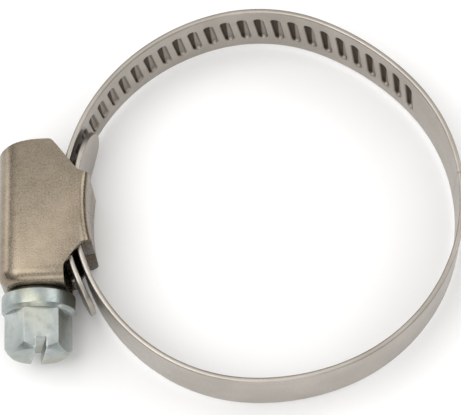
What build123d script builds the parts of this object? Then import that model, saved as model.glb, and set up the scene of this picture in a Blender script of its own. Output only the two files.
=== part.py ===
from build123d import *
from math import atan2, cos, degrees, floor, pi, radians, sin, sqrt, tan
import os

# Worm-drive hose clamp, lying flat. Millimetres.
# Z is the axis of the hose bore, the housing sits at -X and the screw head points to -Y.
# The bore is the largest circle that fits between the saddle and the far side of the ring.
# The strip runs round an axis of its own, set back from the bore's by RING_SHIFT, so the saddle
# can stand inside it.

# ---- driving dimensions ----
BORE_RADIUS = 22.15         # largest hose that fits
RING_SHIFT = 0.65           # the strip's own axis, behind the bore's
BAND_WIDTH = 9.0
BAND_THICK = 0.65
SADDLE_THICK = 1.25         # two layers of sheet folded together, under the band
SHEET = 0.75                # housing sheet
LAYER_GAP = 0.05            # fixed band layer on the saddle
FEED_GAP = 0.7              # threaded layer over the fixed layer
SIDE_GAP = 0.15             # band edge to housing wall

RING_TEETH = 72             # band pitches in one full turn at the thread radius
RIDGE_HEIGHT = 0.45
RIDGE_WIDTH = 0.85
SLOT_LENGTH = 5.4
SLOT_WIDTH = 1.15
SLOT_DEPTH = 0.4

WORM_RADIUS = 2.85
WORM_ROOT = 2.2
WORM_CREST = 0.6            # width of the thread's crest
WORM_BASE = 1.05            # width of the thread at its root
WORM_GAP = 0.1              # worm crest to the band's outer face
THREAD_RELIEF = 0.3         # thread to the worm's ends
NECK_RADIUS = 2.1
PILOT_RADIUS = 1.8
COLLAR_RADIUS = 4.4
COLLAR_LENGTH = 2.6
HEX_FLATS = 7.0
HEX_LENGTH = 5.1
HEX_TURN = 12.0             # how far the head is turned at rest, in degrees
DRIVE_SLOT_WIDTH = 1.2
DRIVE_SLOT_DEPTH = 1.6
BEARING_GAP = 0.05          # screw neck and pilot in the housing ends

HOUSING_NEAR = -9.9
HOUSING_FAR = 8.1
SADDLE_NEAR = -4.9
SADDLE_FAR = 3.6
BACK_GAP = 0.85             # worm to the back of the housing
ROLL_RADIUS = 2.9           # outer corner where the sheet rolls over the screw
END_ROUND = 1.6             # outer edge of the near end wall
NEAR_LIP_GAP = 0.7          # end walls to the ridges on the threaded layer
FAR_LIP_GAP = 0.25
NOTCH_NEAR = -7.9           # where the near notch starts to slant
NOTCH_INSET = 0.3           # straight part of each notch beside the saddle
NOTCH_ROUND = 0.9           # rounded corners of the sheet's cut edges
FAR_CUT = 1.25              # slanted corner at the far end
FAR_ROUND = 5.5             # curved corner at the far end
FAR_DROP = 1.3
FAR_BULGE = (0.4, 0.32)     # middle of that curve, as shares of its two sizes
FOLD_GAP = 0.12             # joint line where the sheet's edges meet under the band
END_PLAY = 0.05             # screw end play in the housing
CROWN_DROP = 0.9            # height of the domed end of the hexagon
CROWN_EDGE = 3.25           # the dome's edge, its rim height and its flat middle
CROWN_RIM = 0.12
CROWN_FLAT = 1.6
COLLAR_BEVEL = 0.45
THREAD_SINK = 0.1           # thread and pressed slots reach this far into their parent metal
SLOT_TAPER = 0.4            # hollow side of a slot, narrower than its mouth
SLOT_SHORT = 0.3
TIP_RADIUS = 4.2
TAIL_CORNER = 3.9
TOUCH = 0.01                # how near an edge lies to a plane or a radius to be on it

HINGE_GAP = 0.02            # bend line clearance between two arcs of the band
SEAM_GAP = 0.06             # open seam between the two chains of arcs
TONGUE_ANGLE = 153.5        # end of the fixed layer, beyond the housing
TAIL_ANGLE = 210.0          # tip of the threaded end
TAIL_PLAIN = 4.0            # degrees of the tail without slots
FEED_HINGE_ANGLE = 102.5
NEAR_HINGE_ANGLE = 235.0
BORE_FROM_ANGLE = 290.0     # the ring lies on the bore's circle from here, through 0, to the next
BORE_TO_ANGLE = 40.0
SEAM_ANGLE = 5.0
LAST_SLOT_ANGLE = 32.0
FIRST_SLOT_ROOM = 0.45      # from the threaded end's bend line to its first slot, in pitches

# ---- derived sizes ----
half_thick = BAND_THICK / 2
bore_mid = BORE_RADIUS + half_thick
ring_inner = BORE_RADIUS + SADDLE_THICK + LAYER_GAP - RING_SHIFT
ring_mid = ring_inner + half_thick
saddle_outer = ring_inner - LAYER_GAP
feed_inner = ring_inner + BAND_THICK + FEED_GAP
feed_mid = feed_inner + half_thick
feed_outer = feed_inner + BAND_THICK
ridge_outer = feed_outer + RIDGE_HEIGHT
mesh_radius = feed_outer + RIDGE_HEIGHT / 2
pitch_angle = 360 / RING_TEETH
pitch = mesh_radius * radians(pitch_angle)
lead_angle = degrees(atan2(pitch, 2 * pi * (WORM_RADIUS - RIDGE_HEIGHT / 2)))
screw_x = -RING_SHIFT - (feed_outer + WORM_GAP + WORM_RADIUS)
cavity_half = BAND_WIDTH / 2 + SIDE_GAP
housing_half = cavity_half + SHEET
fold_radius = SHEET + SIDE_GAP
housing_left = screw_x - WORM_RADIUS - BACK_GAP - SHEET
knuckle_radius = half_thick
socket_radius = half_thick + HINGE_GAP


def polar(radius, angle):
    """Point at an angle in degrees round the strip's axis."""
    return (radius * cos(radians(angle)) - RING_SHIFT, radius * sin(radians(angle)))


def on_bore(radius, angle):
    """Point at an angle in degrees round the bore's axis."""
    return (radius * cos(radians(angle)), radius * sin(radians(angle)))


def two_arcs(start, heading, end, end_heading):
    """Two tangent arcs, as (radius, degrees), from one point and heading to another, turning left."""
    first = Vector(cos(radians(heading)), sin(radians(heading)))
    last = Vector(cos(radians(end_heading)), sin(radians(end_heading)))
    chord = Vector(*end) - Vector(*start)
    bend = 2 * (1 - first.dot(last))
    slope = chord.dot(first + last)
    reach = (sqrt(slope ** 2 + bend * chord.dot(chord)) - slope) / bend
    middle = (chord - last * reach) - first * reach
    meet = degrees(atan2(middle.Y, middle.X)) % 360
    sweeps = (meet - heading, end_heading - meet)
    return [(reach / tan(radians(sweep / 2)), sweep) for sweep in sweeps]


def centre_line(start, heading, runs):
    """Each run's centre, signed radius, first heading and last heading."""
    spans = []
    x, y = start
    for radius, sweep in runs:
        turn = sweep if radius > 0 else -sweep
        cx = x - radius * sin(radians(heading))
        cy = y + radius * cos(radians(heading))
        last = heading + turn
        spans.append((cx, cy, radius, heading, last))
        x = cx + radius * sin(radians(last))
        y = cy - radius * cos(radians(last))
        heading = last
    return spans


def face_point(span, heading, offset):
    """Point of the strip at a heading, offset to the left of its centre line."""
    cx, cy, radius, first, last = span
    reach = offset - radius
    return (cx - reach * sin(radians(heading)), cy + reach * cos(radians(heading)))


def strip_outline(spans):
    """Closed outline of a strip that follows the runs, drawn in the current sketch."""
    with BuildLine() as outline:
        for offset in (half_thick, -half_thick):
            for span in spans:
                first, last = span[3], span[4]
                ThreePointArc(
                    face_point(span, first, offset),
                    face_point(span, (first + last) / 2, offset),
                    face_point(span, last, offset),
                )
        for span, heading in ((spans[0], spans[0][3]), (spans[-1], spans[-1][4])):
            Line(face_point(span, heading, half_thick), face_point(span, heading, -half_thick))
    make_face(outline.edges())


def end_of(spans):
    """Last point of the centre line."""
    return face_point(spans[-1], spans[-1][4], 0)


def end_plane(radius, angle):
    """Plane across a strip that ends at this angle round its own axis."""
    return Plane(origin=(*polar(radius, angle), 0), z_dir=(*on_bore(1, angle + 90), 0))


def corners_on(strip, plane):
    """The strip's two corner edges that lie in the plane across its end."""
    tip_edges = [e for e in strip.edges() if abs(plane.to_local_coords(e.center()).Z) < TOUCH]
    return [e for e in tip_edges if abs(abs(e.center().Z) - BAND_WIDTH / 2) < TOUCH]


def slot_places(spans, count, first, spacing):
    """Point on the centre line and outward angle of each slot, spaced along the strip."""
    places = []
    for index in range(count):
        left = first + index * spacing
        for span in spans:
            length = abs(span[2]) * radians(abs(span[4] - span[3]))
            if left <= length:
                turn = degrees(left / span[2])
                heading = span[3] + turn
                places.append((face_point(span, heading, 0), heading - 90))
                break
            left -= length
    return places


def cut_slots(places):
    """Presses each slot: a slanted hollow in the inner face and a ridge on the outer face."""
    slant = 90 - lead_angle
    for (x, y), outward in places:
        direction = Vector(cos(radians(outward)), sin(radians(outward)), 0)
        along = Vector(-sin(radians(outward)), cos(radians(outward)), 0)
        outer = Plane(origin=Vector(x, y, 0), x_dir=along, z_dir=direction)
        inner = outer.offset(-half_thick - THREAD_SINK)
        with BuildSketch(outer) as ridge:
            SlotOverall(SLOT_LENGTH, RIDGE_WIDTH, rotation=slant)
        extrude(ridge.sketch, amount=half_thick + RIDGE_HEIGHT)
        with BuildSketch(inner) as hollow:
            SlotOverall(SLOT_LENGTH - SLOT_SHORT, SLOT_WIDTH - SLOT_TAPER, rotation=slant)
        extrude(hollow.sketch, amount=SLOT_DEPTH + THREAD_SINK, mode=Mode.SUBTRACT)


def is_at(vertex, places):
    """Whether a vertex lies at one of the places."""
    return min((Vector(vertex) - place).length for place in places) < TOUCH


def knuckle(at):
    """Rounded end of a band arc, on its bend line."""
    with BuildSketch(Plane.XY.offset(-BAND_WIDTH / 2)) as rod:
        with Locations(at):
            Circle(knuckle_radius)
    extrude(rod.sketch, amount=BAND_WIDTH)


def socket(at):
    """Hollow end of a band arc, round its neighbour's knuckle."""
    with BuildSketch(Plane.XY.offset(-BAND_WIDTH)) as bore:
        with Locations(at):
            Circle(socket_radius)
    extrude(bore.sketch, amount=2 * BAND_WIDTH, mode=Mode.SUBTRACT)


# ---- how the band runs ----
# Fixed layer and near side: round the strip's own axis, then in to the bore's circle on two arcs.
fixed_sweep = NEAR_HINGE_ANGLE - TONGUE_ANGLE
fixed_line = centre_line(polar(ring_mid, TONGUE_ANGLE), TONGUE_ANGLE + 90, [(ring_mid, fixed_sweep)])
near_hinge = polar(ring_mid, NEAR_HINGE_ANGLE)
bore_hinge = on_bore(bore_mid, BORE_FROM_ANGLE)
near_runs = two_arcs(near_hinge, NEAR_HINGE_ANGLE + 90, bore_hinge, BORE_FROM_ANGLE + 90)
near_line = centre_line(near_hinge, NEAR_HINGE_ANGLE + 90, near_runs)
seam_trim = degrees(SEAM_GAP / 2 / bore_mid)
right_sweep = 360 + SEAM_ANGLE - seam_trim - BORE_FROM_ANGLE
right_line = centre_line(bore_hinge, BORE_FROM_ANGLE + 90, [(bore_mid, right_sweep)])

# Far side: from the bore's circle out to the threaded layer's radius on two arcs.
seam_start = SEAM_ANGLE + seam_trim
leave_point = on_bore(bore_mid, BORE_TO_ANGLE)
feed_hinge = polar(feed_mid, FEED_HINGE_ANGLE)
upper_run, far_run = two_arcs(leave_point, BORE_TO_ANGLE + 90, feed_hinge, FEED_HINGE_ANGLE + 90)
upper_runs = [(bore_mid, BORE_TO_ANGLE - seam_start), upper_run]
upper_line = centre_line(on_bore(bore_mid, seam_start), seam_start + 90, upper_runs)
upper_hinge = end_of(upper_line)
far_line = centre_line(upper_hinge, upper_line[-1][4], [far_run])
feed_sweep = TAIL_ANGLE - FEED_HINGE_ANGLE
feed_line = centre_line(feed_hinge, FEED_HINGE_ANGLE + 90, [(feed_mid, feed_sweep)])

print("bend lines", near_hinge, bore_hinge, feed_hinge, upper_hinge)
print("near arcs", near_runs, "far arcs", upper_run, far_run)
print("pitch", pitch, "lead", lead_angle, "screw x", screw_x, "left", housing_left)

# ---- fixed end of the band: tongue, layer under the screw, start of the ring ----
with BuildPart() as band_fixed_end:
    with BuildSketch():
        strip_outline(fixed_line)
    extrude(amount=BAND_WIDTH / 2, both=True)
    fillet(corners_on(band_fixed_end, end_plane(ring_mid, TONGUE_ANGLE)), radius=TIP_RADIUS)
    socket(near_hinge)

# ---- plain arcs of the ring ----
with BuildPart() as band_near_arc:
    with BuildSketch():
        strip_outline(near_line)
    extrude(amount=BAND_WIDTH / 2, both=True)
    knuckle(near_hinge)
    socket(bore_hinge)

with BuildPart() as band_right_arc:
    with BuildSketch():
        strip_outline(right_line)
    extrude(amount=BAND_WIDTH / 2, both=True)
    knuckle(bore_hinge)

# ---- threaded arcs of the ring ----
upper_length = upper_run[0] * radians(upper_run[1])
slotted_length = upper_length + bore_mid * radians(BORE_TO_ANGLE - LAST_SLOT_ANGLE)
upper_total = upper_length + bore_mid * radians(BORE_TO_ANGLE - seam_start)
upper_count = int(slotted_length / pitch)
upper_first = upper_total - (upper_count - 0.5) * pitch
with BuildPart() as band_upper_arc:
    with BuildSketch():
        strip_outline(upper_line)
    extrude(amount=BAND_WIDTH / 2, both=True)
    cut_slots(slot_places(upper_line, upper_count, upper_first, pitch))
    knuckle(upper_hinge)

far_length = far_run[0] * radians(far_run[1])
far_count = round(far_length / pitch)
far_pitch = far_length / far_count
with BuildPart() as band_far_arc:
    with BuildSketch():
        strip_outline(far_line)
    extrude(amount=BAND_WIDTH / 2, both=True)
    cut_slots(slot_places(far_line, far_count, far_pitch / 2, far_pitch))
    socket(upper_hinge)
    knuckle(feed_hinge)

# ---- threaded end: through the housing and out beside the screw head ----
# The slots are counted back from the one that lies opposite the middle of the screw, so they mesh.
feed_pitch = feed_mid * radians(pitch_angle)
slots_before = floor((180 - FEED_HINGE_ANGLE) / pitch_angle - FIRST_SLOT_ROOM)
feed_first = feed_mid * radians(180 - FEED_HINGE_ANGLE) - slots_before * feed_pitch
feed_count = slots_before + 1 + int((TAIL_ANGLE - TAIL_PLAIN - 180) / pitch_angle)
with BuildPart() as band_threaded_end:
    with BuildSketch():
        strip_outline(feed_line)
    extrude(amount=BAND_WIDTH / 2, both=True)
    fillet(corners_on(band_threaded_end, end_plane(feed_mid, TAIL_ANGLE)), radius=TAIL_CORNER)
    cut_slots(slot_places(feed_line, feed_count, feed_first, feed_pitch))
    socket(feed_hinge)

# ---- housing: one sheet rolled over the screw and folded under the band ----
section = Plane(origin=(0, 0, 0), x_dir=(1, 0, 0), z_dir=(0, 1, 0))
hollow_left = housing_left + SHEET
hollow_near = HOUSING_NEAR + SHEET
hollow_far = HOUSING_FAR - SHEET
near_lip = -RING_SHIFT - sqrt(ridge_outer ** 2 - hollow_near ** 2) - NEAR_LIP_GAP
far_lip = -RING_SHIFT - sqrt(ridge_outer ** 2 - hollow_far ** 2) - FAR_LIP_GAP
saddle_far_point = (-sqrt(BORE_RADIUS ** 2 - SADDLE_FAR ** 2), SADDLE_FAR)
saddle_near_point = (-sqrt(BORE_RADIUS ** 2 - SADDLE_NEAR ** 2), SADDLE_NEAR)
block_right = -BORE_RADIUS + 2 * ROLL_RADIUS + SADDLE_THICK
block_length = 2 * (HOUSING_FAR - HOUSING_NEAR)

with BuildPart() as housing_hollow:
    with BuildSketch(section.offset(hollow_near)):
        with Locations(((hollow_left + block_right) / 2, 0)):
            RectangleRounded(block_right - hollow_left, 2 * cavity_half, ROLL_RADIUS - SHEET)
    extrude(amount=hollow_far - hollow_near)
    for lip_x, reach in ((near_lip, -block_length), (far_lip, block_length)):
        with BuildSketch(section):
            with Locations(((lip_x + block_right) / 2, 0)):
                Rectangle(block_right - lip_x, 2 * cavity_half)
        extrude(amount=reach)
    with BuildSketch():
        with Locations((-RING_SHIFT, 0)):
            Circle(saddle_outer)
    extrude(amount=housing_half, both=True, mode=Mode.SUBTRACT)

with BuildPart() as housing:
    with BuildSketch(section):
        with Locations(((housing_left + block_right) / 2, 0)):
            RectangleRounded(block_right - housing_left, 2 * housing_half, ROLL_RADIUS)
    extrude(amount=block_length, both=True)
    far_corner = (far_lip - FAR_CUT, HOUSING_FAR)
    round_from = (housing_left + FAR_ROUND, HOUSING_FAR)
    round_to = (housing_left, HOUSING_FAR - FAR_DROP)
    round_mid = (housing_left + FAR_ROUND * FAR_BULGE[0], HOUSING_FAR - FAR_DROP * FAR_BULGE[1])
    near_corner = (near_lip, NOTCH_NEAR)
    near_notch = (saddle_near_point[0] - SADDLE_THICK, SADDLE_NEAR - NOTCH_INSET)
    far_notch = (saddle_far_point[0] - SADDLE_THICK, SADDLE_FAR + NOTCH_INSET)
    with BuildSketch() as plan:
        with BuildLine():
            Polyline(
                round_to,
                (housing_left, HOUSING_NEAR),
                (near_lip, HOUSING_NEAR),
                near_corner,
                near_notch,
                saddle_near_point,
            )
            ThreePointArc(saddle_near_point, (-BORE_RADIUS, 0), saddle_far_point)
            Polyline(
                saddle_far_point,
                far_notch,
                far_corner,
                round_from,
            )
            ThreePointArc(round_from, round_mid, round_to)
        make_face()
        cut_corners = [Vector(*at) for at in (near_notch, far_notch, far_corner, near_corner)]
        fillet(plan.vertices().filter_by(lambda v: is_at(v, cut_corners)), radius=NOTCH_ROUND)
    extrude(amount=2 * housing_half, both=True, mode=Mode.INTERSECT)
    arc_edges = housing.edges().filter_by(GeomType.CIRCLE)
    saddle_edges = [e for e in arc_edges if abs(e.radius - BORE_RADIUS) < TOUCH]
    fillet(saddle_edges, radius=fold_radius)
    end_wall = housing.faces().filter_by(Axis.Y).sort_by(Axis.Y)[0]
    end_edges = [e for e in end_wall.edges() if e.center().X < near_lip - TOUCH]
    fillet(end_edges, radius=END_ROUND)
    add(housing_hollow.part, mode=Mode.SUBTRACT)
    with BuildSketch(section.offset(HOUSING_NEAR - SHEET)):
        with Locations((screw_x, 0)):
            Circle(NECK_RADIUS + BEARING_GAP)
    extrude(amount=3 * SHEET, mode=Mode.SUBTRACT)
    with BuildSketch(section.offset(HOUSING_FAR - 2 * SHEET)):
        with Locations((screw_x, 0)):
            Circle(PILOT_RADIUS + BEARING_GAP)
    extrude(amount=3 * SHEET, mode=Mode.SUBTRACT)
    # the two edges of the sheet meet under the band
    with BuildSketch():
        with Locations((-BORE_RADIUS - SADDLE_THICK / 2, 0)):
            Rectangle(2 * SADDLE_THICK, block_length)
    extrude(amount=FOLD_GAP / 2, both=True, mode=Mode.SUBTRACT)

# ---- screw: hexagon head, collar, neck, worm and pilot in one piece ----
collar_start = HOUSING_NEAR - END_PLAY
hex_start = collar_start - COLLAR_LENGTH
head_end = hex_start - HEX_LENGTH
worm_near = hollow_near + END_PLAY
worm_far = hollow_far - END_PLAY
across_corners = HEX_FLATS / cos(radians(30))
# The thread starts half a pitch off the slots, and is as long as the worm leaves room for.
thread_room = THREAD_RELIEF + WORM_BASE / 2
thread_start = -(floor((-worm_near - thread_room) / pitch - 0.5) + 0.5) * pitch
worm_turns = floor(4 * (worm_far - thread_room - thread_start) / pitch) / 4

with BuildPart() as screw_head:
    with BuildSketch(section.offset(hex_start)):
        with Locations((screw_x, 0)):
            RegularPolygon(HEX_FLATS / 2, 6, major_radius=False, rotation=HEX_TURN)
    extrude(amount=-HEX_LENGTH)
    with BuildSketch(Plane.XY):
        with BuildLine():
            Polyline(
                (screw_x, hex_start),
                (screw_x + across_corners / 2, hex_start),
                (screw_x + across_corners / 2, head_end + CROWN_DROP),
                (screw_x + CROWN_EDGE, head_end + CROWN_RIM),
                (screw_x + CROWN_FLAT, head_end),
                (screw_x, head_end),
                close=True,
            )
        make_face()
    revolve(axis=Axis((screw_x, 0, 0), (0, 1, 0)), mode=Mode.INTERSECT)
    with BuildSketch(section.offset(head_end)):
        with Locations((screw_x, 0)):
            Rectangle(DRIVE_SLOT_WIDTH, across_corners * 2, rotation=HEX_TURN)
    extrude(amount=DRIVE_SLOT_DEPTH, mode=Mode.SUBTRACT)

with BuildPart() as worm_thread:
    Cylinder(WORM_ROOT, worm_far - worm_near, align=(Align.CENTER, Align.CENTER, Align.MIN))
    with BuildLine() as worm_path:
        Helix(pitch, pitch * worm_turns, WORM_ROOT, center=(0, 0, thread_start - worm_near))
    with BuildSketch(Plane(origin=worm_path.line @ 0, x_dir=(1, 0, 0), z_dir=worm_path.line % 0)):
        with BuildLine():
            Polyline(
                (-THREAD_SINK, WORM_BASE / 2),
                (WORM_RADIUS - WORM_ROOT, WORM_CREST / 2),
                (WORM_RADIUS - WORM_ROOT, -WORM_CREST / 2),
                (-THREAD_SINK, -WORM_BASE / 2),
                close=True,
            )
        make_face()
    sweep(path=worm_path.line, is_frenet=True)

with BuildPart() as screw:
    add(Plane(origin=(screw_x, worm_near, 0), x_dir=(1, 0, 0), z_dir=(0, 1, 0)) * worm_thread.part)
    with BuildSketch(section.offset(worm_near)):
        with Locations((screw_x, 0)):
            Circle(NECK_RADIUS)
    extrude(amount=collar_start - worm_near)
    with BuildSketch(section.offset(worm_far)):
        with Locations((screw_x, 0)):
            Circle(PILOT_RADIUS)
    extrude(amount=SHEET + 2 * END_PLAY)
    with BuildSketch(Plane.XY):
        with BuildLine():
            Polyline(
                (screw_x, collar_start),
                (screw_x + COLLAR_RADIUS - COLLAR_BEVEL, collar_start),
                (screw_x + COLLAR_RADIUS, collar_start - COLLAR_BEVEL),
                (screw_x + COLLAR_RADIUS, hex_start + COLLAR_BEVEL),
                (screw_x + COLLAR_RADIUS - COLLAR_BEVEL, hex_start),
                (screw_x, hex_start),
                close=True,
            )
        make_face()
    revolve(axis=Axis((screw_x, 0, 0), (0, 1, 0)))
    add(screw_head.part)

band_fixed_end.part.label = "band_fixed_end"
band_near_arc.part.label = "band_near_arc"
band_right_arc.part.label = "band_right_arc"
band_upper_arc.part.label = "band_upper_arc"
band_far_arc.part.label = "band_far_arc"
band_threaded_end.part.label = "band_threaded_end"
housing.part.label = "housing"
screw.part.label = "screw"

os.makedirs("parts", exist_ok=True)
export_step(band_fixed_end.part, "parts/band_fixed_end.step")
export_step(band_near_arc.part, "parts/band_near_arc.step")
export_step(band_right_arc.part, "parts/band_right_arc.step")
export_step(band_upper_arc.part, "parts/band_upper_arc.step")
export_step(band_far_arc.part, "parts/band_far_arc.step")
export_step(band_threaded_end.part, "parts/band_threaded_end.step")
export_step(housing.part, "parts/housing.step")
export_step(screw.part, "parts/screw.step")

print("hexagon from", head_end, "to", hex_start)
print("collar from", hex_start, "to", collar_start)
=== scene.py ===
# %% [markdown]
# # A worm-drive hose clamp
# The clamp is three pieces: a long steel strip, a pressed sheet housing, and a screw whose worm thread
# bites into slots pressed in the strip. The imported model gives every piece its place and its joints.
# Here the strip is made again with its pressed slots and rounded edges, the housing and the screw get
# the soft edges that real pressing and forging leave, and each metal gets its own finish.

# %% Load the frame
from math import atan2, cos, degrees, radians, sin, sqrt, tan

import bmesh
import bpy
from mathutils import Matrix, Vector


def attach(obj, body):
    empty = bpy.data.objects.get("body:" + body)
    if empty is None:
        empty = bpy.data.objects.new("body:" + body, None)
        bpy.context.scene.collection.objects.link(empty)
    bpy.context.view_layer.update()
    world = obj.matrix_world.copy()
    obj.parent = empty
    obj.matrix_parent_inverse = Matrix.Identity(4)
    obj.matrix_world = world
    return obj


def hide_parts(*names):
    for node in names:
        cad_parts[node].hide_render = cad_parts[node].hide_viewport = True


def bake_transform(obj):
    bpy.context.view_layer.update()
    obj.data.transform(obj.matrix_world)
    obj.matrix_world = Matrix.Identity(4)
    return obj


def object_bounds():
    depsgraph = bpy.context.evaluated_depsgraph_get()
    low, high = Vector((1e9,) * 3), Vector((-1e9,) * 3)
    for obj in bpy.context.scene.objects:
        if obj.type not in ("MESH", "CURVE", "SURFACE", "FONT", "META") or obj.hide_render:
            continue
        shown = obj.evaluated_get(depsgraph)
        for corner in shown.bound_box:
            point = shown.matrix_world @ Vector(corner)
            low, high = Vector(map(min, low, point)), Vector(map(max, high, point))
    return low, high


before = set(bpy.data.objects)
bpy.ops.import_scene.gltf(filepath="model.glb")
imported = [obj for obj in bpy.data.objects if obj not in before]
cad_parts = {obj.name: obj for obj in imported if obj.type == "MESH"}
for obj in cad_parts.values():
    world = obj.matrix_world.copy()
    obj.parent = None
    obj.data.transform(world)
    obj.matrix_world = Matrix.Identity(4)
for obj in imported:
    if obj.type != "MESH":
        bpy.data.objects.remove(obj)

cad_low, cad_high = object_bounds()
print("CAD box in mm:", [round(v * 1000, 2) for v in (cad_high - cad_low)])

# %% [markdown]
# ## The sizes that everything follows
# A maker writes the sizes of the strip and of the ring down first. The ring's sizes are those of the
# solid model, so the pieces made here sit where the solids do. The pressed slots differ a little: the
# hollows are wider than the solid's, because their edges are soft, and the ridges are shorter.
# Millimetres are easier to read, so one factor turns them into metres. Angles without a note are in
# degrees.

# %% Named sizes
MM = 0.001
BORE_RADIUS = 22.15
RING_SHIFT = 0.65
BAND_WIDTH = 9.0
BAND_THICK = 0.65
SADDLE_THICK = 1.25
LAYER_GAP, FEED_GAP = 0.05, 0.7
RING_MID = BORE_RADIUS + (SADDLE_THICK + LAYER_GAP) - RING_SHIFT + BAND_THICK / 2
BORE_MID = BORE_RADIUS + BAND_THICK / 2
FEED_MID = RING_MID + BAND_THICK + FEED_GAP
TONGUE_ANGLE = 153.5
TAIL_ANGLE = 210.0
NEAR_BEND_ANGLE = 235.0
BORE_FROM_ANGLE, BORE_TO_ANGLE = 290.0, 40.0
FEED_BEND_ANGLE = 102.5
SEAM_ANGLE = 5.0
SEAM_GAP = 0.06
PITCH_ANGLE = 5.0
SLOT_PITCH = FEED_MID * radians(PITCH_ANGLE)
SLOT_LENGTH, SLOT_WIDTH, SLOT_DEPTH = 5.1, 1.1, 0.42
RIDGE_WIDTH, RIDGE_HEIGHT = 0.85, 0.45
SLOT_LEAN = radians(7.54)
TONGUE_ROUND, TAIL_ROUND = 4.2, 3.9
TAIL_PLAIN = 4.0
WALK_STEP = 0.2
print("slot pitch on the strip:", round(SLOT_PITCH, 3), "mm")

# %% [markdown]
# ## The camera
# The clamp lies flat and is looked at from high up on the side its screw's head faces, through a long
# lens, which keeps the ring's two rims almost parallel. The camera is placed by its distance and height
# angle, then turned by three small angles, because nobody holds a camera perfectly square.

# %% Camera
CAMERA_HEIGHT_ANGLE = 69.245
CAMERA_DISTANCE = 253.42 * MM
CAMERA_PAN, CAMERA_TILT, CAMERA_ROLL = radians(1.164), radians(0.069), radians(-2.277)
LENS, SENSOR = 163.72, 36.0
NEAREST_SEEN, FARTHEST_SEEN = 0.01, 10.0


def place_camera():
    """Makes the camera, high on the side the screw's head faces, turned by three small angles."""
    height = radians(CAMERA_HEIGHT_ANGLE)
    back = Vector((0, -cos(height), sin(height)))
    right = Vector((1, 0, 0))
    up = back.cross(right)
    turn = Matrix.Rotation(CAMERA_PAN, 3, up) @ Matrix.Rotation(CAMERA_TILT, 3, right)
    turn = turn @ Matrix.Rotation(CAMERA_ROLL, 3, back)
    axes = Matrix((turn @ right, turn @ up, turn @ back)).transposed().to_4x4()
    data = bpy.data.cameras.new("camera")
    data.sensor_width, data.lens = SENSOR, LENS
    data.clip_start, data.clip_end = NEAREST_SEEN, FARTHEST_SEEN
    camera = bpy.data.objects.new("camera", data)
    bpy.context.collection.objects.link(camera)
    camera.matrix_world = Matrix.Translation(back * CAMERA_DISTANCE) @ axes
    bpy.context.scene.camera = camera
    return camera


camera = place_camera()
print("camera stands at", [round(v / MM) for v in camera.matrix_world.translation], "mm")

# %% [markdown]
# ## A small helper for node trees
# Both Geometry Nodes and shader nodes are boxes joined by wires. Writing each box by hand takes many
# lines, so one helper adds a box, sets its plain values and joins its wires. A wire is given as the
# output socket it starts from, a value as the value itself.


# %% Node helper
def box(tree, kind, *inputs, **settings):
    """Adds a node of a kind, applies its settings, and fills its inputs in order (None skips one)."""
    node = tree.nodes.new(kind)
    for name, value in settings.items():
        setattr(node, name, value)
    for socket, value in zip([s for s in node.inputs if s.enabled], inputs):
        if value is None:
            continue
        if isinstance(value, bpy.types.NodeSocket):
            tree.links.new(value, socket)
        else:
            socket.default_value = value
    return node


def sums(tree, operation, *values):
    """A Math node's result, for geometry and shader trees alike."""
    return box(tree, "ShaderNodeMath", *values, operation=operation).outputs[0]


def vectors(tree, operation, *values):
    """A Vector Math node's result, a number or a vector."""
    node = box(tree, "ShaderNodeVectorMath", *values, operation=operation)
    return next(s for s in node.outputs if s.enabled)


def smooth(tree, value, low, high):
    """0 below low, 1 above high, and an S-shaped rise between."""
    node = box(tree, "ShaderNodeMapRange", value, low, high, 0.0, 1.0, interpolation_type="SMOOTHSTEP")
    return node.outputs[0]


# %% [markdown]
# ## How the strip runs
# The strip's middle line is a chain of tangent arcs, so it has no kinks: the fixed layer lies on the
# saddle and runs in to the bore's circle on two arcs, and on the other side the strip runs out again to
# the threaded layer's larger radius. A walk along the arcs, a short step at a time, gives the points of
# each line. It could be drawn by hand with a Bezier curve, but then it wouldn't stay on the solids.


# %% Tangent arcs
def on_bore(radius, angle):
    """Point at an angle in degrees round the bore's axis."""
    return Vector((radius * cos(radians(angle)), radius * sin(radians(angle)), 0))


def on_ring(radius, angle):
    """Point at an angle in degrees round the strip's own axis, which is set back from the bore's."""
    return on_bore(radius, angle) - Vector((RING_SHIFT, 0, 0))


def two_arcs(start, heading, end, end_heading):
    """Two tangent arcs, as (radius, degrees), from one point and heading to another, turning left."""
    first, last = on_bore(1, heading), on_bore(1, end_heading)
    chord = end - start
    bend = 2 * (1 - first.dot(last))
    slope = chord.dot(first + last)
    reach = (sqrt(slope ** 2 + bend * chord.dot(chord)) - slope) / bend
    middle = chord - (first + last) * reach
    meet = degrees(atan2(middle.y, middle.x)) % 360
    sweeps = (meet - heading, end_heading - meet)
    return [(reach / tan(radians(sweep / 2)), sweep) for sweep in sweeps]


def walk(start, heading, runs):
    """Points along tangent arcs (radius, degrees) that turn left."""
    points = [start.copy()]
    here = start.copy()
    for radius, sweep in runs:
        centre = here + radius * on_bore(1, heading + 90)
        count = max(2, int(radius * radians(sweep) / WALK_STEP))
        angles = [heading - 90 + sweep * index / count for index in range(1, count + 1)]
        points += [centre + on_bore(radius, angle) for angle in angles]
        heading += sweep
        here = points[-1].copy()
    return points


def length_of(points):
    """Length of a line of points."""
    return sum((b - a).length for a, b in zip(points, points[1:]))


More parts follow.
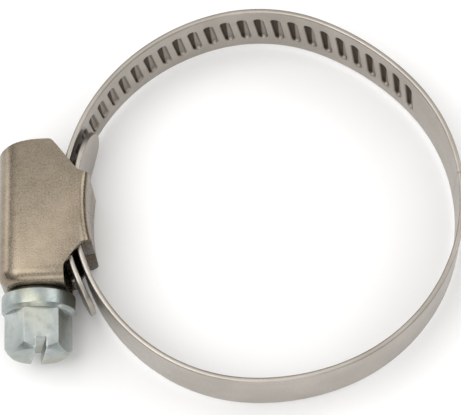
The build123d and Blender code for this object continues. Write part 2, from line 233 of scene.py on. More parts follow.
# %% The strip's four lines
near_bend = on_ring(RING_MID, NEAR_BEND_ANGLE)
bore_bend = on_bore(BORE_MID, BORE_FROM_ANGLE)
near_runs = two_arcs(near_bend, NEAR_BEND_ANGLE + 90, bore_bend, BORE_FROM_ANGLE + 90)
fixed_runs = [(RING_MID, NEAR_BEND_ANGLE - TONGUE_ANGLE), near_runs[0]]
fixed_path = walk(on_ring(RING_MID, TONGUE_ANGLE), TONGUE_ANGLE + 90, fixed_runs)
seam_trim = degrees(SEAM_GAP / 2 / BORE_MID)
front_runs = [near_runs[1], (BORE_MID, 360 + SEAM_ANGLE - seam_trim - BORE_FROM_ANGLE)]
front_path = walk(fixed_path[-1], NEAR_BEND_ANGLE + 90 + near_runs[0][1], front_runs)

SLOTS_ON_FAR_ARC = 3
leave_point = on_bore(BORE_MID, BORE_TO_ANGLE)
feed_bend = on_ring(FEED_MID, FEED_BEND_ANGLE)
upper_run, far_run = two_arcs(leave_point, BORE_TO_ANGLE + 90, feed_bend, FEED_BEND_ANGLE + 90)
far_radius, far_sweep = far_run
kept_sweep = degrees(SLOTS_ON_FAR_ARC * SLOT_PITCH / far_radius)
seam_start = SEAM_ANGLE + seam_trim
upper_runs = [(BORE_MID, BORE_TO_ANGLE - seam_start), upper_run, (far_radius, far_sweep - kept_sweep)]
upper_path = walk(on_bore(BORE_MID, seam_start), seam_start + 90, upper_runs)
feed_runs = [(far_radius, kept_sweep), (FEED_MID, TAIL_ANGLE - FEED_BEND_ANGLE)]
feed_path = walk(upper_path[-1], FEED_BEND_ANGLE + 90 - kept_sweep, feed_runs)
strip_paths = {"fixed": fixed_path, "front": front_path, "upper": upper_path, "feed": feed_path}
for name, path in strip_paths.items():
    print(name, "length:", round(length_of(path), 2), "mm, from", [round(v, 2) for v in path[0].xy])

# %% [markdown]
# ## The pressed strip, in Geometry Nodes
# On the real strip a roller with slanted teeth presses slot after slot, each one a hollow on the hose
# side and a ridge on the screw side. The slots could be cut one by one with booleans, but a rule is
# better: sweep a rounded section along the line, then push every point of the skin outwards where it
# lies inside a slot. The tree has the strip's sizes as named inputs, so all four lengths of strip use
# it, with or without slots. Near a round end the strip is narrowed, which gives the tongue and the tail
# their shape.


# %% Geometry Nodes tree: pressed strip
EDGE_RADIUS, STRIP_DETAIL, EDGE_STEPS = 0.2, 0.1, 4
SOFT_HOLLOW, SOFT_RIDGE = 0.3, 0.2
STRIP_INPUTS = (
    ("Width", BAND_WIDTH * MM),
    ("Thickness", BAND_THICK * MM),
    ("Edge radius", EDGE_RADIUS * MM),
    ("Detail", STRIP_DETAIL * MM),
    ("Slot pitch", SLOT_PITCH * MM),
    ("First slot", 0.0),
    ("Slot count", 0.0),
    ("Slot length", SLOT_LENGTH * MM),
    ("Slot width", SLOT_WIDTH * MM),
    ("Slot lean", SLOT_LEAN),
    ("Recess depth", SLOT_DEPTH * MM),
    ("Ridge width", RIDGE_WIDTH * MM),
    ("Ridge height", RIDGE_HEIGHT * MM),
    ("Start round", 0.0),
    ("End round", 0.0),
)


def strip_tree():
    """Sweeps a rounded section along a curve and presses slanted slots through it."""
    tree = bpy.data.node_groups.new("pressed strip", "GeometryNodeTree")
    tree.interface.new_socket(name="Geometry", in_out="INPUT", socket_type="NodeSocketGeometry")
    for label, value in STRIP_INPUTS:
        socket = tree.interface.new_socket(name=label, in_out="INPUT", socket_type="NodeSocketFloat")
        socket.default_value = value
    tree.interface.new_socket(name="Finish", in_out="INPUT", socket_type="NodeSocketMaterial")
    tree.interface.new_socket(name="Geometry", in_out="OUTPUT", socket_type="NodeSocketGeometry")
    given = tree.nodes.new("NodeGroupInput").outputs
    line = box(tree, "GeometryNodeResampleCurve", given["Geometry"])
    line.mode = "LENGTH"
    tree.links.new(given["Detail"], line.inputs["Length"])
    line = line.outputs[0]

    def keep(geometry, label, kind, field):
        node = tree.nodes.new("GeometryNodeStoreNamedAttribute")
        node.data_type, node.domain = kind, "POINT"
        tree.links.new(geometry, node.inputs["Geometry"])
        node.inputs["Name"].default_value = label
        tree.links.new(field, node.inputs["Value"])
        return node.outputs[0]

    def read(label, kind):
        node = tree.nodes.new("GeometryNodeInputNamedAttribute")
        node.data_type = kind
        node.inputs["Name"].default_value = label
        return node.outputs[0]

    along = tree.nodes.new("GeometryNodeSplineParameter").outputs["Length"]
    tangent = tree.nodes.new("GeometryNodeInputTangent").outputs[0]
    whole = tree.nodes.new("GeometryNodeSplineLength").outputs["Length"]
    line = keep(line, "along", "FLOAT", along)
    line = keep(line, "left", "FLOAT", sums(tree, "SUBTRACT", whole, along))
    line = keep(line, "middle", "FLOAT_VECTOR", tree.nodes.new("GeometryNodeInputPosition").outputs[0])
    outward = vectors(tree, "CROSS_PRODUCT", tangent, (0.0, 0.0, 1.0))
    line = keep(line, "outward", "FLOAT_VECTOR", outward)
    line = box(tree, "GeometryNodeSetCurveNormal", line, mode="Z_UP").outputs[0]

    outline = ("GeometryNodeCurvePrimitiveQuadrilateral", given["Thickness"], given["Width"])
    section = box(tree, *outline).outputs[0]
    fillet = tree.nodes.new("GeometryNodeFilletCurve")
    fillet.mode = "POLY"
    tree.links.new(section, fillet.inputs["Curve"])
    tree.links.new(given["Edge radius"], fillet.inputs["Radius"])
    fillet.inputs["Count"].default_value = EDGE_STEPS
    section = box(tree, "GeometryNodeResampleCurve", fillet.outputs[0])
    section.mode = "LENGTH"
    tree.links.new(given["Detail"], section.inputs["Length"])
    sweep = tree.nodes.new("GeometryNodeCurveToMesh")
    tree.links.new(line, sweep.inputs["Curve"])
    tree.links.new(section.outputs[0], sweep.inputs["Profile Curve"])
    sweep.inputs["Fill Caps"].default_value = True

    place = tree.nodes.new("GeometryNodeInputPosition").outputs[0]
    height = box(tree, "ShaderNodeSeparateXYZ", place).outputs[2]
    outward = read("outward", "FLOAT_VECTOR")
    from_middle = vectors(tree, "SUBTRACT", place, read("middle", "FLOAT_VECTOR"))
    depth = vectors(tree, "DOT_PRODUCT", from_middle, outward)

    # which slot a point is nearest to, and how far it is from that slot's middle line
    slanted = sums(tree, "MULTIPLY", height, sums(tree, "TANGENT", given["Slot lean"]))
    square_on = sums(tree, "SUBTRACT", read("along", "FLOAT"), slanted)
    from_first = sums(tree, "SUBTRACT", square_on, given["First slot"])
    nearest = sums(tree, "ROUND", sums(tree, "DIVIDE", from_first, given["Slot pitch"]))
    last = sums(tree, "SUBTRACT", given["Slot count"], 1.0)
    nearest = sums(tree, "MAXIMUM", sums(tree, "MINIMUM", nearest, last), 0.0)
    across = sums(tree, "SUBTRACT", from_first, sums(tree, "MULTIPLY", nearest, given["Slot pitch"]))
    any_slots = sums(tree, "GREATER_THAN", given["Slot count"], 0.5)

    def inside(width, soft):
        """1 inside a round-ended slot of a width, falling to 0 over a soft edge."""
        half = sums(tree, "MULTIPLY", width, 0.5)
        straight = sums(tree, "SUBTRACT", sums(tree, "MULTIPLY", given["Slot length"], 0.5), half)
        past = sums(tree, "SUBTRACT", sums(tree, "ABSOLUTE", height), straight)
        beyond = sums(tree, "MAXIMUM", past, 0.0)
        squares = [sums(tree, "POWER", reach, 2.0) for reach in (across, beyond)]
        away = sums(tree, "SQRT", sums(tree, "ADD", *squares))
        inner = sums(tree, "SUBTRACT", half, soft / 2)
        outer = sums(tree, "ADD", half, soft / 2)
        fall = (away, inner, outer, 1.0, 0.0)
        node = box(tree, "ShaderNodeMapRange", *fall, interpolation_type="SMOOTHSTEP")
        return sums(tree, "MULTIPLY", node.outputs[0], any_slots)

    hollow = inside(given["Slot width"], SOFT_HOLLOW * MM)
    ridge = inside(given["Ridge width"], SOFT_RIDGE * MM)
    on_outside = sums(tree, "GREATER_THAN", depth, 0.0)
    push = sums(tree, "MULTIPLY", hollow, given["Recess depth"])
    raise_by = sums(tree, "MULTIPLY", ridge, given["Ridge height"])
    mix = box(tree, "ShaderNodeMix", on_outside, push, raise_by, data_type="FLOAT")
    moved = vectors(tree, "SCALE", outward, None)
    tree.links.new(mix.outputs[0], moved.node.inputs["Scale"])

    # round ends: the strip is narrowed towards a round tip
    half_width = sums(tree, "MULTIPLY", given["Width"], 0.5)

    def narrowed(label, distance):
        short = sums(tree, "MAXIMUM", sums(tree, "SUBTRACT", given[label], distance), 0.0)
        squares = [sums(tree, "POWER", side, 2.0) for side in (given[label], short)]
        inner = sums(tree, "SUBTRACT", *squares)
        reach = sums(tree, "SQRT", sums(tree, "MAXIMUM", inner, 0.0))
        kept = sums(tree, "ADD", sums(tree, "SUBTRACT", half_width, given[label]), reach)
        return sums(tree, "DIVIDE", kept, half_width)

    at_start = narrowed("Start round", read("along", "FLOAT"))
    at_end = narrowed("End round", read("left", "FLOAT"))
    share = sums(tree, "MULTIPLY", at_start, at_end)
    lower = sums(tree, "MULTIPLY", height, sums(tree, "SUBTRACT", share, 1.0))
    drop = box(tree, "ShaderNodeCombineXYZ", 0.0, 0.0, lower).outputs[0]
    on_inside = sums(tree, "SUBTRACT", 1.0, on_outside)
    pressed = sums(tree, "MULTIPLY", hollow, on_inside)
    shaped = keep(sweep.outputs[0], "pressed", "FLOAT", pressed)
    shaped = keep(shaped, "flank", "FLOAT", sums(tree, "DIVIDE", across, given["Slot width"]))
    shaped = keep(shaped, "across", "FLOAT", height)
    mover = tree.nodes.new("GeometryNodeSetPosition")
    tree.links.new(shaped, mover.inputs["Geometry"])
    tree.links.new(vectors(tree, "ADD", moved, drop), mover.inputs["Offset"])
    whole = box(tree, "GeometryNodeRealizeInstances", mover.outputs[0]).outputs[0]
    finish = tree.nodes.new("GeometryNodeSetMaterial")
    tree.links.new(whole, finish.inputs["Geometry"])
    tree.links.new(given["Finish"], finish.inputs["Material"])
    out = tree.nodes.new("NodeGroupOutput")
    tree.links.new(finish.outputs[0], out.inputs[0])
    return tree


pressed_strip = strip_tree()
print("strip tree:", len(pressed_strip.nodes), "nodes")

# %% [markdown]
# ## Shared finish: grain and clouds
# Rolled and pressed steel is never one even grey. It carries a fine speckle from the rolls, and soft
# cloudy patches where oil and air have dulled it. One group makes both from noise and puts out two
# values, so every metal here can use it at its own scale.


# %% Shader groups
def shader_group(name, inputs, outputs):
    """An empty shader group with named inputs (name, kind, default) and outputs (name, kind)."""
    tree = bpy.data.node_groups.new(name, "ShaderNodeTree")
    for label, kind, value in inputs:
        socket = tree.interface.new_socket(name=label, in_out="INPUT", socket_type=kind)
        socket.default_value = value
    for label, kind in outputs:
        tree.interface.new_socket(name=label, in_out="OUTPUT", socket_type=kind)
    return tree, tree.nodes.new("NodeGroupInput").outputs, tree.nodes.new("NodeGroupOutput").inputs


FLOAT, VECTOR = "NodeSocketFloat", "NodeSocketVector"


def noise(tree, place, scale, detail=3.0):
    """Noise from 0 to 1. Scale may be a number or a wire."""
    node = tree.nodes.new("ShaderNodeTexNoise")
    tree.links.new(place, node.inputs["Vector"])
    node.inputs["Detail"].default_value = detail
    if isinstance(scale, bpy.types.NodeSocket):
        tree.links.new(scale, node.inputs["Scale"])
    else:
        node.inputs["Scale"].default_value = scale
    return node.outputs[0]


def grain_group():
    """Speckle and clouds of rolled steel."""
    tree, given, out = shader_group(
        "steel grain",
        (
            ("Place", VECTOR, (0, 0, 0)),
            ("Speckle scale", FLOAT, 4000.0),
            ("Cloud scale", FLOAT, 150.0),
        ),
        (("Speckle", FLOAT), ("Clouds", FLOAT)),
    )
    speckle = noise(tree, given["Place"], given["Speckle scale"], 2.0)
    clouds = noise(tree, given["Place"], given["Cloud scale"], 5.0)
    tree.links.new(smooth(tree, speckle, 0.3, 0.7), out["Speckle"])
    tree.links.new(smooth(tree, clouds, 0.3, 0.7), out["Clouds"])
    return tree


def wear_group():
    """Where handling has rubbed an edge bright: the edge attribute, broken up by noise."""
    tree, given, out = shader_group(
        "edge wear",
        (
            ("Place", VECTOR, (0, 0, 0)),
            ("Edge", FLOAT, 0.0),
            ("Break-up scale", FLOAT, 900.0),
            ("Amount", FLOAT, 0.7),
        ),
        (("Wear", FLOAT),),
    )
    broken = smooth(tree, noise(tree, given["Place"], given["Break-up scale"], 4.0), 0.25, 0.6)
    worn = sums(tree, "MULTIPLY", sums(tree, "MULTIPLY", given["Edge"], broken), given["Amount"])
    tree.links.new(worn, out["Wear"])
    return tree


# each run is a turn in radians and how tightly the noise is packed along x, y and z
SCRATCH_RUNS = ((0.3, (250.0, 9000.0, 400.0)), (2.2, (9000.0, 300.0, 500.0)))
SCRATCH_PEAK = (0.68, 0.74)


def scratch_group():
    """Thin random scratches: a stretched noise, kept only where it peaks."""
    tree, given, out = shader_group(
        "fine scratches",
        (("Place", VECTOR, (0, 0, 0)), ("Density", FLOAT, 1.0)),
        (("Scratches", FLOAT),),
    )
    deepest = None
    for turn, stretch in SCRATCH_RUNS:
        mapping = tree.nodes.new("ShaderNodeMapping")
        tree.links.new(given["Place"], mapping.inputs["Vector"])
        mapping.inputs["Rotation"].default_value = (0.2, 0.1, turn)
        mapping.inputs["Scale"].default_value = stretch
        line = smooth(tree, noise(tree, mapping.outputs[0], 1.0, 1.0), *SCRATCH_PEAK)
        deepest = line if deepest is None else sums(tree, "MAXIMUM", deepest, line)
    tree.links.new(sums(tree, "MULTIPLY", deepest, given["Density"]), out["Scratches"])
    return tree


steel_grain, edge_wear, fine_scratches = grain_group(), wear_group(), scratch_group()
print("shader groups:", steel_grain.name, "/", edge_wear.name, "/", fine_scratches.name)

# %% [markdown]
# ## The three finishes
# The strip is bright rolled stainless steel: light, with a faint lengthwise grain. Its pressed slots
# get painted brown shade, lifted by a painted highlight on the flank that faces the light. The housing
# is the same family of steel but pressed and tumbled, so it is browner, duller and finely speckled,
# with painted shade at the saddle's near end. The screw is zinc plated and passivated: cooler, a little
# green, with yellow tints where the passivation is thicker. Each finish mixes two or three tones by the
# shared groups' masks, and sends the same masks to roughness and to a fine bump, so colour and gloss
# agree.


# %% Material helpers
def group(tree, shared, **values):
    """Places a shared group in a material. Values go by input name, with _ for a space."""
    node = tree.nodes.new("ShaderNodeGroup")
    node.node_tree = shared
    for label, value in values.items():
        socket = node.inputs[label.replace("_", " ")]
        if isinstance(value, bpy.types.NodeSocket):
            tree.links.new(value, socket)
        else:
            socket.default_value = value
    return node.outputs


def attribute(tree, name):
    """A piece's own attribute, as a number."""
    node = tree.nodes.new("ShaderNodeAttribute")
    node.attribute_name = name
    return node.outputs["Fac"]


def tint(tree, mask, first, second):
    """Mixes two colours (either may be a wire) by a mask."""
    node = tree.nodes.new("ShaderNodeMix")
    node.data_type = "RGBA"
    mask_socket, first_socket, second_socket = node.inputs[0], node.inputs[6], node.inputs[7]
    for socket, value in ((mask_socket, mask), (first_socket, first), (second_socket, second)):
        if isinstance(value, bpy.types.NodeSocket):
            tree.links.new(value, socket)
        elif isinstance(value, tuple):
            socket.default_value = (*value, 1.0)
        else:
            socket.default_value = value
    return node.outputs[2]


def scaled(tree, value, factor):
    """A value times a number."""
    return sums(tree, "MULTIPLY", value, factor)


def total(tree, first, *others):
    """Adds numbers and wires in the order given."""
    for value in others:
        first = sums(tree, "ADD", first, value)
    return first


def metal(name):
    """A new material with its tree, its Principled shader and the piece's own coordinates."""
    material = bpy.data.materials.new(name)
    material.use_nodes = True
    tree = material.node_tree
    shader = tree.nodes["Principled BSDF"]
    shader.inputs["Metallic"].default_value = 1.0
    place = tree.nodes.new("ShaderNodeTexCoord").outputs["Object"]
    return material, tree, shader, place


def bump(tree, shader, height, strength, distance):
    """Sends a height to the shader's normal."""
    node = tree.nodes.new("ShaderNodeBump")
    node.inputs["Strength"].default_value = strength
    node.inputs["Distance"].default_value = distance
    tree.links.new(height, node.inputs["Height"])
    tree.links.new(node.outputs[0], shader.inputs["Normal"])


# %% Strip steel
STRIP_DARK, STRIP_LIGHT = (0.34, 0.305, 0.265), (0.42, 0.385, 0.345)
STRIP_LINES, STRIP_SPECKLE = (0.50, 0.47, 0.435), (0.33, 0.285, 0.24)
# painted shade: the dark brown laid into the pressed slots, where the hollows fall in shade
SLOT_SHADE_COLOUR = (0.055, 0.038, 0.025)
STRIP_ROUGH = 0.27
ROLLED_STRETCH = (120.0, 6000.0, 1.0)
FLANK_TURN, FLANK_SPREAD, FLANK_EDGE = -1.0, -90.0, (-0.05, 0.15)


def slot_flank(tree):
    """The one side of each pressed slot that catches the light, widest at the slot's foot."""
    side = scaled(tree, attribute(tree, "flank"), FLANK_TURN)
    wider = scaled(tree, attribute(tree, "across"), FLANK_SPREAD)
    return smooth(tree, total(tree, side, wider), *FLANK_EDGE)


def strip_steel():
    """Rolled stainless strip, with brown shadow in its pressed slots."""
    material, tree, shader, place = metal("strip_steel")
    grain = group(tree, steel_grain, Place=place, Speckle_scale=5200.0, Cloud_scale=170.0)
    scratches = group(tree, fine_scratches, Place=place, Density=0.5)["Scratches"]
    in_slot = attribute(tree, "pressed")
    lengthwise = (attribute(tree, "along"), attribute(tree, "across"), 0.0)
    rolled = box(tree, "ShaderNodeCombineXYZ", *lengthwise).outputs[0]
    mapping = tree.nodes.new("ShaderNodeMapping")
    tree.links.new(rolled, mapping.inputs["Vector"])
    mapping.inputs["Scale"].default_value = ROLLED_STRETCH
    lines = noise(tree, mapping.outputs[0], 1.0, 3.0)
    colour = tint(tree, grain["Clouds"], STRIP_DARK, STRIP_LIGHT)
    colour = tint(tree, scaled(tree, lines, 0.35), colour, STRIP_LINES)
    colour = tint(tree, scaled(tree, grain["Speckle"], 0.18), colour, STRIP_SPECKLE)
    # the slots' painted shade, lifted by a painted highlight on the flank that faces the light
    unlit_share = sums(tree, "SUBTRACT", 1.0, scaled(tree, slot_flank(tree), 0.85))
    pressed = sums(tree, "MINIMUM", scaled(tree, in_slot, 2.0), 1.0)
    slot_shade = scaled(tree, sums(tree, "MULTIPLY", pressed, unlit_share), 0.95)
    colour = tint(tree, slot_shade, colour, SLOT_SHADE_COLOUR)
    tree.links.new(colour, shader.inputs["Base Color"])
    rough = total(tree, scaled(tree, grain["Speckle"], 0.08), scaled(tree, lines, 0.10), STRIP_ROUGH)
    rough = total(tree, rough, scaled(tree, in_slot, 0.25), scaled(tree, scratches, -0.1))
    tree.links.new(rough, shader.inputs["Roughness"])
    fine = total(tree, scaled(tree, lines, 0.6), scaled(tree, scratches, -0.8))
    bump(tree, shader, fine, 0.25, 0.02 * MM)
    return material


# %% Housing steel
HOUSING_DARK, HOUSING_LIGHT = (0.205, 0.167, 0.122), (0.245, 0.202, 0.152)
HOUSING_SPECKLE, HOUSING_WORN = (0.345, 0.29, 0.225), (0.45, 0.40, 0.33)
SADDLE_SHADE_COLOUR = (0.10, 0.075, 0.05)
HOUSING_ROUGH = 0.25
# along y, x and z in turn: where the painted shade at the saddle begins and where it is full
SHADE_SPANS = ((1, -4.0, -5.0), (0, -24.6, -23.6), (2, 5.3, 4.3))
SHADE_SCALE, SHADE_BREAKS = 1500.0, (0.1, 0.4)


def saddle_shade(tree, place):
    """Painted shade at the saddle's near end, between the folded sheet and the strip, broken up by
    noise.
    """
    part = box(tree, "ShaderNodeSeparateXYZ", place).outputs
    painted_shade = smooth(tree, noise(tree, place, SHADE_SCALE, 3.0), *SHADE_BREAKS)
    for axis, begins, full in SHADE_SPANS:
        painted_shade = sums(tree, "MULTIPLY", painted_shade, smooth(tree, part[axis], begins * MM, full * MM))
    return painted_shade


def housing_steel():
    """Pressed and tumbled sheet: warm, satin, finely speckled, rubbed bright on its edges."""
    material, tree, shader, place = metal("housing_steel")
    grain = group(tree, steel_grain, Place=place, Speckle_scale=4800.0, Cloud_scale=700.0)
    worn = group(tree, edge_wear, Place=place, Edge=attribute(tree, "edge"), Amount=0.65)["Wear"]
    scratches = group(tree, fine_scratches, Place=place, Density=0.6)["Scratches"]
    colour = tint(tree, grain["Clouds"], HOUSING_DARK, HOUSING_LIGHT)
    colour = tint(tree, scaled(tree, grain["Speckle"], 0.5), colour, HOUSING_SPECKLE)
    colour = tint(tree, scaled(tree, worn, 0.4), colour, HOUSING_WORN)
    # painted shade at the saddle's near end, where the folded sheet and the strip hide each other from
    # the light
    colour = tint(tree, saddle_shade(tree, place), colour, SADDLE_SHADE_COLOUR)
    tree.links.new(colour, shader.inputs["Base Color"])
    rough = total(tree, HOUSING_ROUGH, scaled(tree, grain["Speckle"], 0.12))
    rough = total(tree, rough, scaled(tree, worn, -0.1), scaled(tree, scratches, -0.08))
    tree.links.new(rough, shader.inputs["Roughness"])
    fine = total(tree, grain["Speckle"], scaled(tree, scratches, -0.5))
    bump(tree, shader, fine, 0.2, 0.015 * MM)
    return material


# %% Zinc plate
ZINC_DARK, ZINC_LIGHT = (0.29, 0.33, 0.325), (0.385, 0.42, 0.41)
ZINC_STRAW, ZINC_SPECKLE, ZINC_WORN = (0.50, 0.475, 0.34), (0.28, 0.31, 0.30), (0.66, 0.68, 0.65)
ZINC_ROUGH = 0.30
PATCH_SCALE, PATCH_EDGE = 260.0, (0.48, 0.62)


def zinc_plate():
    """Zinc plate, passivated: cool grey-green with straw-coloured tints and bright worn edges."""
    material, tree, shader, place = metal("zinc_plate")
    grain = group(tree, steel_grain, Place=place, Speckle_scale=4200.0, Cloud_scale=420.0)
    worn = group(tree, edge_wear, Place=place, Edge=attribute(tree, "edge"), Amount=0.8)["Wear"]
    patches = smooth(tree, noise(tree, place, PATCH_SCALE, 4.0), *PATCH_EDGE)
    colour = tint(tree, grain["Clouds"], ZINC_DARK, ZINC_LIGHT)
    colour = tint(tree, scaled(tree, patches, 0.5), colour, ZINC_STRAW)
    colour = tint(tree, scaled(tree, grain["Speckle"], 0.2), colour, ZINC_SPECKLE)
    colour = tint(tree, worn, colour, ZINC_WORN)
    tree.links.new(colour, shader.inputs["Base Color"])
    rough = total(tree, ZINC_ROUGH, scaled(tree, grain["Speckle"], 0.12))
    rough = total(tree, rough, scaled(tree, patches, 0.06))
    tree.links.new(rough, shader.inputs["Roughness"])
    bump(tree, shader, total(tree, grain["Speckle"], grain["Clouds"]), 0.2, 0.02 * MM)
    return material


STRIP, HOUSING, ZINC = strip_steel(), housing_steel(), zinc_plate()
print("finishes:", STRIP.name, HOUSING.name, ZINC.name)

# %% [markdown]
# ## Making the four lengths of strip
# The strip bends at four lines as the screw draws it through the housing. Each length of strip here
# spans one bend line and curves smoothly across it, where the solids only hinge. Two of the places
# where the lengths meet are in the middle of a solid arc, where nothing bends, so no gap opens there.
# The third is the seam at the right, where the two halves of the ring come together and a gap of a few
# hundredths of a millimetre is left at rest.


# %% Strip lengths
SAME_POINT = 1e-7
UPPER_SLOTS = 10


def strip_length(name, path, **sizes):
    """One length of strip along a path in millimetres, as a plain closed mesh."""
    curve = bpy.data.curves.new(name + "_line", "CURVE")
    curve.dimensions = "3D"
    spline = curve.splines.new("POLY")
    spline.points.add(len(path) - 1)
    for point, place in zip(spline.points, path):
        point.co = (*(place * MM), 1.0)
    line = bpy.data.objects.new(name + "_line", curve)
    bpy.context.collection.objects.link(line)
    modifier = line.modifiers.new("strip", "NODES")
    modifier.node_group = pressed_strip
    given = [s for s in pressed_strip.interface.items_tree if s.in_out == "INPUT"]
    sockets = {socket.name: socket.identifier for socket in given}
    for label, value in sizes.items():
        modifier[sockets[label.replace("_", " ")]] = value
    modifier[sockets["Finish"]] = STRIP
    depsgraph = bpy.context.evaluated_depsgraph_get()
    mesh = bpy.data.meshes.new_from_object(line.evaluated_get(depsgraph))
    mesh.name = name
    bpy.data.objects.remove(line)
    bpy.data.curves.remove(curve)
    for spare in ("middle", "outward", "left"):
        if spare in mesh.attributes:
            mesh.attributes.remove(mesh.attributes[spare])
    tidy_mesh(mesh)
    piece = bpy.data.objects.new(name, mesh)
    bpy.context.collection.objects.link(piece)
    low = [round(min(v.co[i] for v in mesh.vertices) / MM, 2) for i in range(3)]
    high = [round(max(v.co[i] for v in mesh.vertices) / MM, 2) for i in range(3)]
    print(name, len(mesh.polygons), "faces, from", low, "to", high)
    return piece


def tidy_mesh(mesh):
    """Merges doubles, turns the normals outwards and shades the faces smooth."""
    work = bmesh.new()
    work.from_mesh(mesh)
    bmesh.ops.remove_doubles(work, verts=work.verts, dist=SAME_POINT)
    bmesh.ops.recalc_face_normals(work, faces=work.faces)
    if work.calc_volume(signed=True) < 0:
        bmesh.ops.reverse_faces(work, faces=work.faces)
    work.to_mesh(mesh)
    work.free()
    mesh.shade_smooth()


upper_length = length_of(upper_path)
first_upper = upper_length - (UPPER_SLOTS - 0.5) * SLOT_PITCH
slotted_angle = TAIL_ANGLE - TAIL_PLAIN - FEED_BEND_ANGLE
feed_slots = SLOTS_ON_FAR_ARC + int(slotted_angle / PITCH_ANGLE)
band_fixed = strip_length("band_fixed_layer", fixed_path, Start_round=TONGUE_ROUND * MM)
band_front = strip_length("band_front", front_path)
band_upper = strip_length(
    "band_upper",
    upper_path,
    First_slot=first_upper * MM,
    Slot_count=float(UPPER_SLOTS),
)
band_feed = strip_length(
    "band_feed",
    feed_path,
    First_slot=SLOT_PITCH / 2 * MM,
    Slot_count=float(feed_slots),
    End_round=TAIL_ROUND * MM,
)

# %% [markdown]
# ## The strip lengths in place
# Each length of strip is baked where it lies, and the solid strip pieces it stands for are hidden. The
# spans below, in degrees round the ring, cover a good part of each arc, because sheet steel has no
# hinge in it, but nothing here makes a length follow the bodies or bend between them.


# %% Bake the strip lengths and hide the solid strip pieces
NEAR_BLEND, RIGHT_BLEND = (218, 250), (272, 308)
UPPER_BLEND, FAR_BLEND = (50, 80), (90, 115)


def bend_over(piece, first, second, start, end, nodes):
    """Bakes a length of strip in place and hides the solid pieces it stands for; the bodies and points
    are not used.
    """
    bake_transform(piece)
    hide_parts(*nodes)


near_span = [on_ring(RING_MID, angle) for angle in NEAR_BLEND]
right_span = [on_bore(BORE_MID, angle) for angle in RIGHT_BLEND]
upper_span = [on_bore(BORE_MID, angle) for angle in UPPER_BLEND]
far_span = [on_ring(FEED_MID, angle) for angle in FAR_BLEND]
bend_over(band_fixed, "housing", "near_arc", *near_span, ["band_fixed_end", "band_near_arc"])
bend_over(band_front, "near_arc", "right_arc", *right_span, ["band_right_arc"])
bend_over(band_upper, "upper_arc", "far_arc", *upper_span, ["band_upper_arc"])
bend_over(band_feed, "far_arc", "threaded_end", *far_span, ["band_far_arc", "band_threaded_end"])
print("blended over, in degrees:", NEAR_BLEND, RIGHT_BLEND, UPPER_BLEND, FAR_BLEND)

# %% [markdown]
# ## Softening the pressed and forged pieces
# A solid model has perfectly sharp edges, and no real piece has. A copy of the housing's and the
# screw's own surface is merged into one skin, its flat triangles are joined into whole faces, and its
# edges are rounded with a bevel. A remesh would round them too, but it would also melt the flats.


# %% Softened copies
SAME_CORNER = 2e-6
FLAT_ANGLE, SHARP_ANGLE, SHADE_ANGLE = 1.0, 28.0, 32.0
WEAR_FROM_ANGLE, WEAR_RISE_ANGLE = 8.0, 18.0
BEVEL_STEPS, HOUSING_BEVEL, SCREW_BEVEL = 3, 0.12, 0.1


def softened(node, name, width, finish, body):
    """A copy of a CAD node's skin with rounded edges and an edge attribute for the wear."""
    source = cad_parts[node]
    mesh = source.data.copy()
    mesh.name = name
    work = bmesh.new()
    work.from_mesh(mesh)
    bmesh.ops.remove_doubles(work, verts=work.verts, dist=SAME_CORNER)
    bmesh.ops.dissolve_limit(
        work,
        angle_limit=radians(FLAT_ANGLE),
        use_dissolve_boundaries=False,
        verts=work.verts,
        edges=work.edges,
        delimit={"NORMAL"},
    )
    shared = [e for e in work.edges if len(e.link_faces) == 2]
    sharp = [e for e in shared if e.calc_face_angle(0) > radians(SHARP_ANGLE)]
    bmesh.ops.bevel(
        work,
        geom=sharp,
        offset=width * MM,
        offset_type="OFFSET",
        segments=BEVEL_STEPS,
        profile=0.5,
        affect="EDGES",
        clamp_overlap=True,
        miter_outer="ARC",
    )
    bmesh.ops.triangulate(work, faces=[f for f in work.faces if len(f.verts) > 4])
    bmesh.ops.recalc_face_normals(work, faces=work.faces)
    if work.calc_volume(signed=True) < 0:
        bmesh.ops.reverse_faces(work, faces=work.faces)
    layer = work.verts.layers.float.new("edge")
    for vertex in work.verts:
        convex = [e for e in vertex.link_edges if len(e.link_faces) == 2 and e.is_convex]
        steepest = max([e.calc_face_angle(0) for e in convex], default=0)
        wear = (steepest - radians(WEAR_FROM_ANGLE)) / radians(WEAR_RISE_ANGLE)
        vertex[layer] = min(1.0, max(0.0, wear))
    work.to_mesh(mesh)
    open_edges = sum(1 for e in work.edges if len(e.link_faces) != 2)
    work.free()
    mesh.materials.clear()
    mesh.materials.append(finish)
    for polygon in mesh.polygons:
        polygon.material_index = 0
    mesh.shade_smooth()
    mesh.set_sharp_from_angle(angle=radians(SHADE_ANGLE))
    piece = bpy.data.objects.new(name, mesh)
    bpy.context.collection.objects.link(piece)
    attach(piece, body)
    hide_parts(node)
    print(name, len(mesh.polygons), "faces,", open_edges, "open edges")


softened("housing", "housing_shell", HOUSING_BEVEL, HOUSING, "housing")
softened("screw", "worm_screw", SCREW_BEVEL, ZINC, "screw")

# %% [markdown]
# ## Floor and light
# Small bright metal is lit with large soft sources and little else: what metal shows is mostly the
# room. The world is a tent, bright overhead and dim at its foot. Four area lights add the highlights,
# one overhead, one in front and one at each side.


# %% Floor
FLOOR_REACH, FLOOR_DROP = 1.2, 0.02 * MM
FLOOR_DARK, FLOOR_LIGHT = (0.93, 0.93, 0.93), (0.95, 0.95, 0.95)


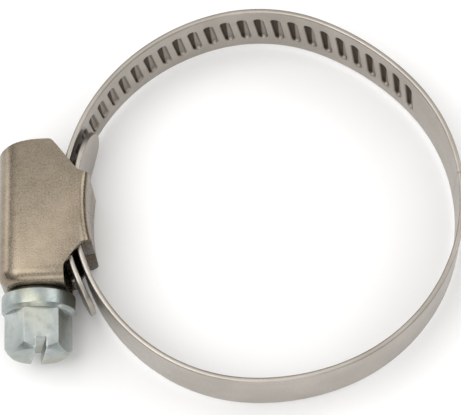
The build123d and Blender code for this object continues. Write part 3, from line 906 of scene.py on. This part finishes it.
def make_floor():
    """A large pale floor under the clamp."""
    size, low = FLOOR_REACH, cad_low.z - FLOOR_DROP
    mesh = bpy.data.meshes.new("floor")
    corners = [(-size, -size, low), (size, -size, low), (size, size, low), (-size, size, low)]
    mesh.from_pydata(corners, [], [(0, 1, 2, 3)])
    floor = bpy.data.objects.new("floor", mesh)
    bpy.context.collection.objects.link(floor)
    material = bpy.data.materials.new("pale_floor")
    material.use_nodes = True
    tree = material.node_tree
    shader = tree.nodes["Principled BSDF"]
    place = tree.nodes.new("ShaderNodeTexCoord").outputs["Object"]
    colour = tint(tree, noise(tree, place, 40.0, 2.0), FLOOR_DARK, FLOOR_LIGHT)
    tree.links.new(colour, shader.inputs["Base Color"])
    shader.inputs["Roughness"].default_value = 0.9
    shader.inputs["Specular IOR Level"].default_value = 0.1
    mesh.materials.append(material)
    print("floor at", round(low / MM, 2), "mm")


make_floor()


# %% Lights
BORE_MIDDLE = Vector((0, 0, 0))
TENT_FOOT, TENT_TOP = (0.16, 0.155, 0.15), (1.0, 0.998, 0.99)
TENT_RISE = (0.1, 0.8)
# name, place in metres, size in metres, power in watts
LIGHTS = (
    ("overhead", (-0.3, -0.05, 0.7), 0.6, 2.4),
    ("front", (0.0, -0.7, 0.28), 0.4, 0.9),
    ("left", (-0.66, 0.25, 0.12), 0.26, 0.5),
    ("right", (0.6, 0.2, 0.5), 0.4, 1.0),
)


def area_light(name, place, size, power):
    """A square soft light aimed at the bore's middle."""
    data = bpy.data.lights.new(name, "AREA")
    data.size, data.energy = size, power
    light = bpy.data.objects.new(name, data)
    bpy.context.collection.objects.link(light)
    light.location = place
    light.rotation_mode = "QUATERNION"
    light.rotation_quaternion = (BORE_MIDDLE - Vector(place)).to_track_quat("-Z", "Y")


def make_world():
    """A tent, bright overhead and dim at its foot."""
    world = bpy.data.worlds.new("tent")
    bpy.context.scene.world = world
    world.use_nodes = True
    tree = world.node_tree
    place = tree.nodes.new("ShaderNodeTexCoord").outputs["Generated"]
    height = box(tree, "ShaderNodeSeparateXYZ", place).outputs[2]
    rise = smooth(tree, height, *TENT_RISE)
    background = tree.nodes["Background"]
    tree.links.new(tint(tree, rise, TENT_FOOT, TENT_TOP), background.inputs["Color"])
    background.inputs["Strength"].default_value = 1.0


make_world()
for name, place, size, power in LIGHTS:
    area_light(name, place, size, power)
bpy.context.scene.view_settings.view_transform = "Standard"
